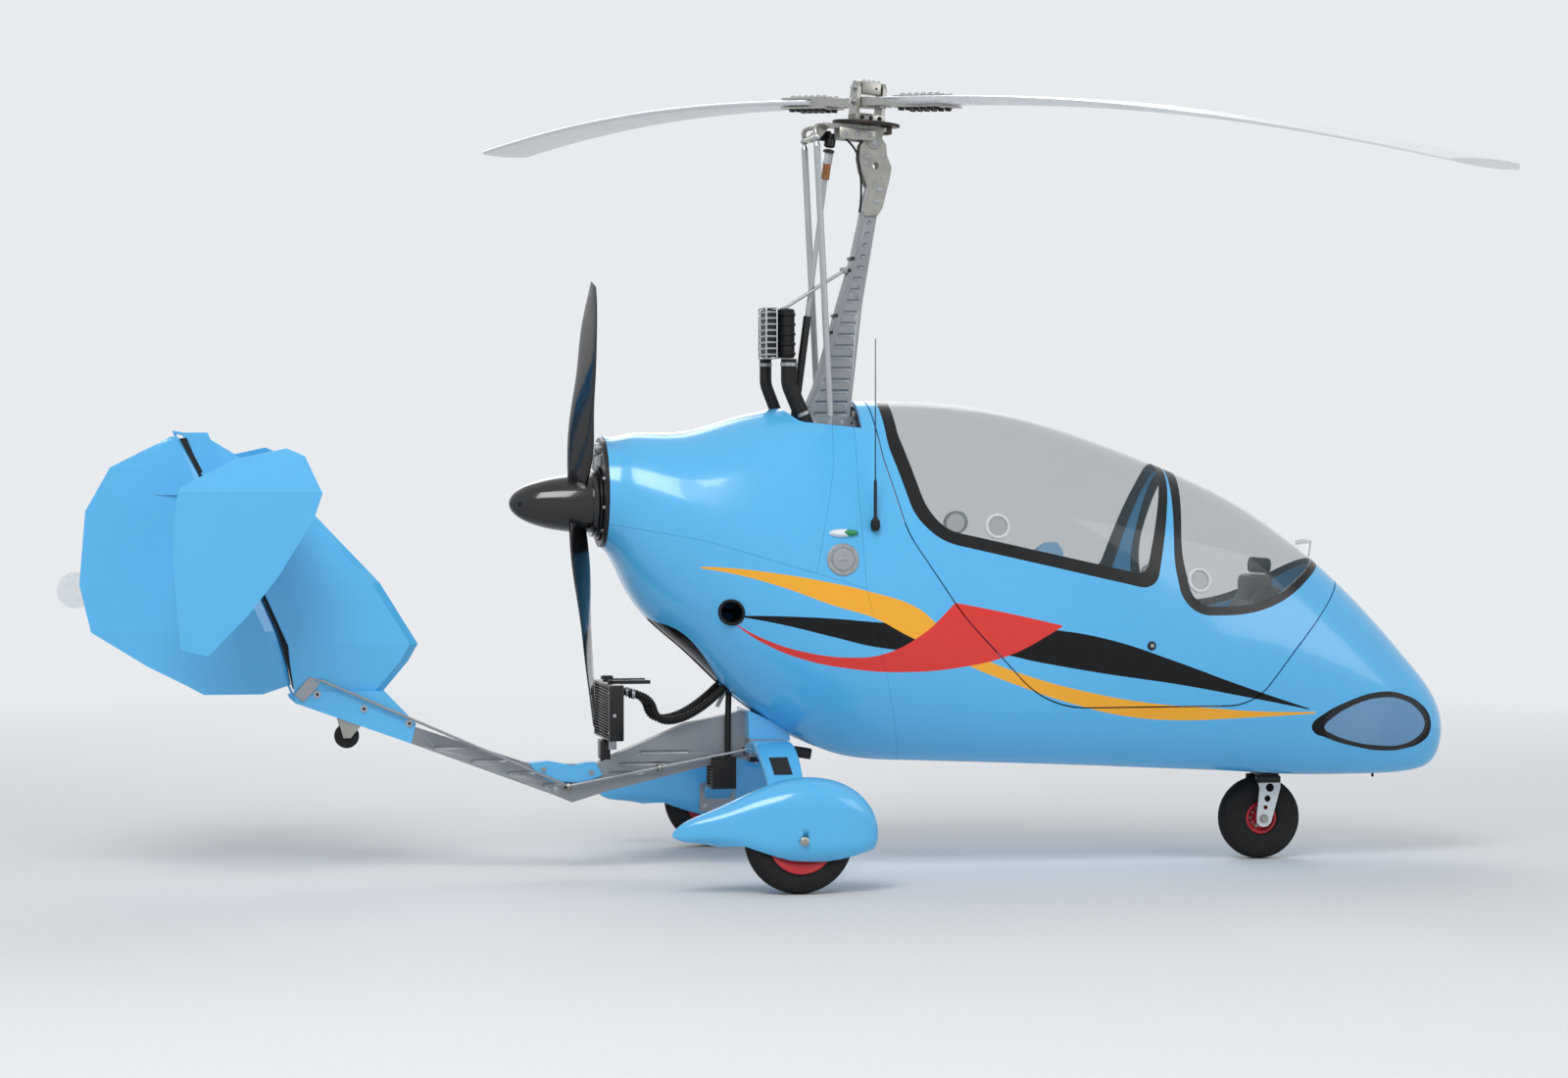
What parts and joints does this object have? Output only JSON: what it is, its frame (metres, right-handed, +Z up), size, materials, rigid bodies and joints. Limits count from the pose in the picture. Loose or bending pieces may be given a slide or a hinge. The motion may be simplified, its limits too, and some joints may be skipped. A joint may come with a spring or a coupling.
{
  "type": "gyrocopter",
  "caption": "Enclosed tandem two-seat gyrocopter with a teetering rotor, pusher propeller, side-hinged canopy and steered nose wheel.",
  "frame": {"origin": "on the ground at the middle of the overall length, on the centre plane", "axes": "+X to the nose, +Y to the left side, +Z up"},
  "size_m": [5, 8.4588, 2.8562],
  "materials": {
    "body_paint": "sky-blue gloss paint over a fibre shell",
    "window_black": "black painted window border",
    "clear_glazing": "clear acrylic glazing",
    "cabin_grey": "dark grey cabin lining",
    "seat_shell_grey": "dark moulded seat shell",
    "cushion_blue": "light blue padded upholstery",
    "panel_black": "black instrument pod",
    "engine_grey": "engine mass, plain block",
    "plate_black": "black engine rear plate",
    "bare_aluminium": "satin aluminium section",
    "steel": "bright steel fitting",
    "black_steel": "black coated steel tube",
    "blade_white": "extruded aluminium blade, light grey paint",
    "prop_black": "black composite propeller",
    "tyre_rubber": "black tyre rubber",
    "rim_red": "red coated wheel rim",
    "hose_rubber": "black ribbed coolant hose",
    "leg_blue": "sky-blue gloss paint over a fibre leg",
    "disc_clear": "frosted clear plastic disc"
  },
  "bodies": {
    "airframe": {"tub": "body_paint", "nose_windows": "clear_glazing", "upper_cowl": "body_paint", "filler_panel": "body_paint", "lower_cowl": "body_paint", "engine_plate": "plate_black", "engine_block": "engine_grey", "cabin_liner": "cabin_grey", "rear_seat_shell": "seat_shell_grey", "rear_cushions": "cushion_blue", "front_seat_shell": "seat_shell_grey", "front_cushions": "cushion_blue", "instrument_pod": "panel_black", "mast": "bare_aluminium", "mast_head": "steel", "shaft_sleeve": "black_steel", "air_cooler": "bare_aluminium", "air_ducts": "hose_rubber", "keel": "bare_aluminium", "gear_frame": "black_steel", "left_leg": "leg_blue", "right_leg": "leg_blue", "left_spat": "body_paint", "right_spat": "body_paint", "roller_bracket": "black_steel", "fin": "body_paint", "tip_plates": "body_paint", "stabiliser": "body_paint", "rear_radiator": "bare_aluminium", "hoses": "hose_rubber", "oil_cooler": "bare_aluminium", "antenna": "panel_black", "exhaust_pipe": "black_steel", "body_hinges": "steel"},
    "canopy": {"canopy_frame": "body_paint", "canopy_panes": "clear_glazing", "window_surrounds": "window_black", "canopy_hinges": "steel"},
    "head": {"head_bridge": "steel"},
    "control_rods": {"control_rods": "black_steel"},
    "spin_up_shaft": {"spin_up_shaft": "steel"},
    "rotor_tower": {"rotor_tower": "steel"},
    "rotor": {"rotor_hub": "bare_aluminium", "right_blade": "blade_white", "left_blade": "blade_white"},
    "propeller": {"propeller_blades": "prop_black", "spinner": "prop_black"},
    "rudder": {"rudder": "body_paint", "trim_tab": "disc_clear"},
    "nose_fork": {"nose_fork": "black_steel"},
    "nose_wheel": {"nose_tyre": "tyre_rubber", "nose_rim": "rim_red"},
    "left_wheel": {"left_tyre": "tyre_rubber", "left_rim": "rim_red"},
    "right_wheel": {"right_tyre": "tyre_rubber", "right_rim": "rim_red"},
    "tail_roller": {"tail_roller": "tyre_rubber"}
  },
  "joints": [
    {"name": "canopy_hinge", "type": "hinge", "parent": "airframe", "child": "canopy", "pos_m": [1.335, 0.372, 0.58], "axis": [-1, 0, 0], "range_deg": [0, 80]},
    {"name": "head_pitch", "type": "hinge", "parent": "airframe", "child": "head", "pos_m": [0.364, 0, 2.578], "axis": [0, -1, 0], "range_deg": [-2, 14]},
    {"name": "control_rods_slide", "type": "slide", "parent": "airframe", "child": "control_rods", "axis": [-0.0507, 0, 0.9987], "range_m": [-0.058, 0.01]},
    {"name": "spin_up_shaft_slide", "type": "slide", "parent": "airframe", "child": "spin_up_shaft", "axis": [0.1304, 0, 0.9915], "range_m": [-0.045, 0.008]},
    {"name": "rotor_spin", "type": "hinge", "parent": "head", "child": "rotor_tower", "pos_m": [0.35, 0, 2.722], "axis": [0.075, 0, 0.9972], "continuous": true},
    {"name": "rotor_teeter", "type": "hinge", "parent": "rotor_tower", "child": "rotor", "pos_m": [0.35, 0, 2.722], "axis": [0.9789, 0.1908, -0.0736], "range_deg": [-11, 5]},
    {"name": "propeller_spin", "type": "hinge", "parent": "airframe", "child": "propeller", "pos_m": [-0.7, 0, 1.3], "axis": [1, 0, 0], "continuous": true},
    {"name": "rudder_hinge", "type": "hinge", "parent": "airframe", "child": "rudder", "pos_m": [-1.702, 0, 0.655], "axis": [-0.4057, 0, 0.914], "range_deg": [-25, 25]},
    {"name": "nose_steer", "type": "hinge", "parent": "airframe", "child": "nose_fork", "pos_m": [1.83, 0, 0.36], "axis": [0, 0, 1], "range_deg": [-25, 25]},
    {"name": "nose_wheel_spin", "type": "hinge", "parent": "nose_fork", "child": "nose_wheel", "pos_m": [1.807, 0, 0.15], "axis": [0, 1, 0], "continuous": true},
    {"name": "left_wheel_spin", "type": "hinge", "parent": "airframe", "child": "left_wheel", "pos_m": [-0.064, 0.83, 0.185], "axis": [0, 1, 0], "continuous": true},
    {"name": "right_wheel_spin", "type": "hinge", "parent": "airframe", "child": "right_wheel", "pos_m": [-0.064, -0.83, 0.185], "axis": [0, 1, 0], "continuous": true},
    {"name": "tail_roller_spin", "type": "hinge", "parent": "airframe", "child": "tail_roller", "pos_m": [-1.507, 0, 0.492], "axis": [0, 1, 0], "continuous": true}
  ],
  "couplings": [
    {"joint": "control_rods_slide", "follows": "head_pitch", "m_per_rad": -0.222},
    {"joint": "spin_up_shaft_slide", "follows": "head_pitch", "m_per_rad": -0.159}
  ]
}
